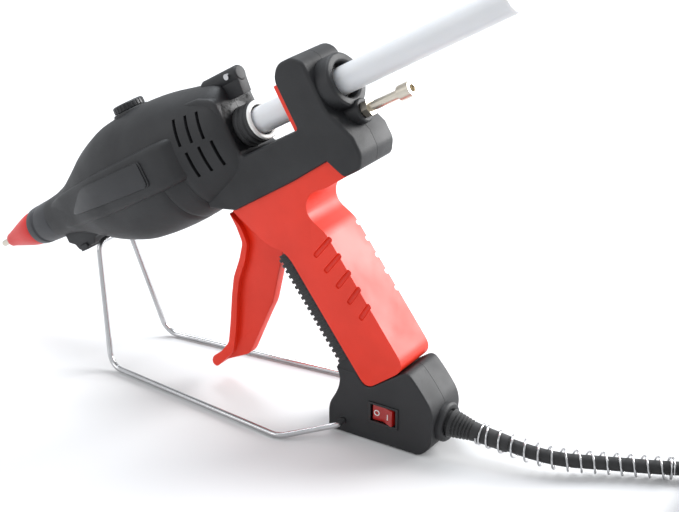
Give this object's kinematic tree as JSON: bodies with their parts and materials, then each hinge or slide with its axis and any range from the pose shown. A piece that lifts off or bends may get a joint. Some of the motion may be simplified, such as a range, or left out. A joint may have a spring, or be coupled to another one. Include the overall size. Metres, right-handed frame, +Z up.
{
  "type": "hot-melt glue gun",
  "caption": "Heavy-duty trigger glue gun on a folding wire stand, with a glue stick in it, side rocker switch, stroke screw and a coiled mains lead.",
  "frame": {"origin": "centre of the standing gun's footprint box, on the surface it stands on, without the lead", "axes": "+X to the rear, away from the nozzle, along the gun's longest side; +Z up; Y = 0 is the joint between the case halves"},
  "size_m": [0.7165, 0.1525, 0.3151],
  "materials": {
    "case_plastic": "fine spark-textured charcoal moulding",
    "panel_plastic": "smooth satin inset panel",
    "red_plastic": "satin orange-red moulding",
    "black_rubber": "matt rubber",
    "red_silicone": "matt red silicone",
    "nozzle_steel": "turned nickel-plated tip",
    "bright_steel": "bright plated wire",
    "nickel_screw": "warm nickel plating",
    "brass": "machined brass",
    "aluminium": "cast aluminium",
    "ptfe": "white fluoropolymer",
    "insulation": "woven glass fibre",
    "spring_steel": "drawn spring wire",
    "ceramic_white": "unglazed ceramic",
    "circuit_board": "green laminate",
    "grey_plastic": "satin grey-black heat-proof moulding",
    "switch_black": "polished black",
    "switch_red": "translucent dark red",
    "glue": "milky translucent hot-melt glue",
    "cord_rubber": "black rubber sheath"
  },
  "bodies": {
    "gun": {"left_shell": "case_plastic", "right_shell": "case_plastic", "left_side_panel": "panel_plastic", "right_side_panel": "panel_plastic", "grip_cover": "red_plastic", "grip_pad": "black_rubber", "nozzle": "nozzle_steel", "nozzle_sleeve": "red_silicone", "front_collar": "grey_plastic", "valve_spring": "spring_steel", "melt_chamber": "aluminium", "heaters": "nozzle_steel", "insulation_sleeve": "insulation", "thermostat": "ceramic_white", "thermal_fuse": "ceramic_white", "inlet_sleeve": "ptfe", "sleeve_clip": "spring_steel", "inlet_collar": "black_rubber", "inlet_ring": "ptfe", "rear_bush": "switch_black", "guide_rods": "bright_steel", "return_springs": "spring_steel", "trigger_pin": "bright_steel", "trigger_spring": "spring_steel", "screw_insert": "brass", "control_board": "circuit_board", "potentiometer": "switch_black", "switch_body": "switch_black", "terminal_block": "ptfe", "inner_lead": "cord_rubber", "cable_clamp": "grey_plastic", "clamp_screws": "bright_steel", "hang_pin": "bright_steel", "stand_clip": "case_plastic", "strain_relief": "black_rubber", "mains_cord": "cord_rubber", "cord_tail": "cord_rubber", "cord_coil": "cord_rubber", "cord_tie": "black_rubber", "mains_plug": "black_rubber", "plug_pins": "nozzle_steel", "kink_spring": "bright_steel"},
    "trigger": {"trigger": "red_plastic"},
    "carriage": {"feed_carriage": "red_plastic", "clamp_spring": "spring_steel"},
    "clamp": {"stick_clamp": "spring_steel"},
    "stick": {"glue_stick": "glue"},
    "rocker": {"switch_rocker": "switch_red"},
    "knob": {"temperature_knob": "case_plastic"},
    "screw": {"stroke_screw": "nickel_screw"},
    "nut": {"lock_nut": "nickel_screw"},
    "ball": {"valve_ball": "bright_steel"},
    "stand": {"stand_wire": "bright_steel"}
  },
  "joints": [
    {"name": "trigger_pull", "type": "hinge", "parent": "gun", "child": "trigger", "pos_m": [0.06165, 0, 0.1471], "axis": [0, -1, 0], "range_deg": [0, 22], "stiffness_Nm_per_rad": 0.35, "springref_deg": -14.32, "deforming": ["trigger_spring"]},
    {"name": "carriage_feed", "type": "slide", "parent": "gun", "child": "carriage", "axis": [-0.8572, 0, -0.515], "range_m": [0, 0.01394], "deforming": ["return_springs"]},
    {"name": "clamp_tilt", "type": "hinge", "parent": "carriage", "child": "clamp", "pos_m": [0.07722, 0, 0.21478], "axis": [0, 1, 0], "range_deg": [-5, 0], "stiffness_Nm_per_rad": 0.05, "springref_deg": 11.46, "deforming": ["clamp_spring"]},
    {"name": "stick_slide", "type": "slide", "parent": "gun", "child": "stick", "axis": [0.8572, 0, 0.515], "range_m": [-0.016, 0.135]},
    {"name": "switch_rock", "type": "hinge", "parent": "gun", "child": "rocker", "pos_m": [0.135, -0.014, 0.022], "axis": [0, 0, 1], "range_deg": [0, 22]},
    {"name": "knob_turn", "type": "hinge", "parent": "gun", "child": "knob", "pos_m": [-0.08089, 0, 0.18628], "axis": [-0.515, 0, 0.8572], "range_deg": [0, 270]},
    {"name": "screw_feed", "type": "slide", "parent": "gun", "child": "screw", "axis": [-0.8572, 0, -0.515], "range_m": [0, 0.008]},
    {"name": "nut_turn", "type": "hinge", "parent": "gun", "child": "nut", "pos_m": [0.11048, 0, 0.2231], "axis": [0.8572, 0, 0.515], "range_deg": [0, 360]},
    {"name": "valve_open", "type": "slide", "parent": "gun", "child": "ball", "axis": [-0.8572, 0, -0.515], "range_m": [0, 0.002], "stiffness_N_per_m": 150, "springref_m": -0.002, "deforming": ["valve_spring"]},
    {"name": "stand_swing", "type": "hinge", "parent": "gun", "child": "stand", "pos_m": [0.104, 0, 0.009], "axis": [0, -1, 0], "range_deg": [0, 60]}
  ],
  "couplings": [
    {"joint": "carriage_feed", "follows": "trigger_pull", "m_per_rad": 0.035779}
  ]
}
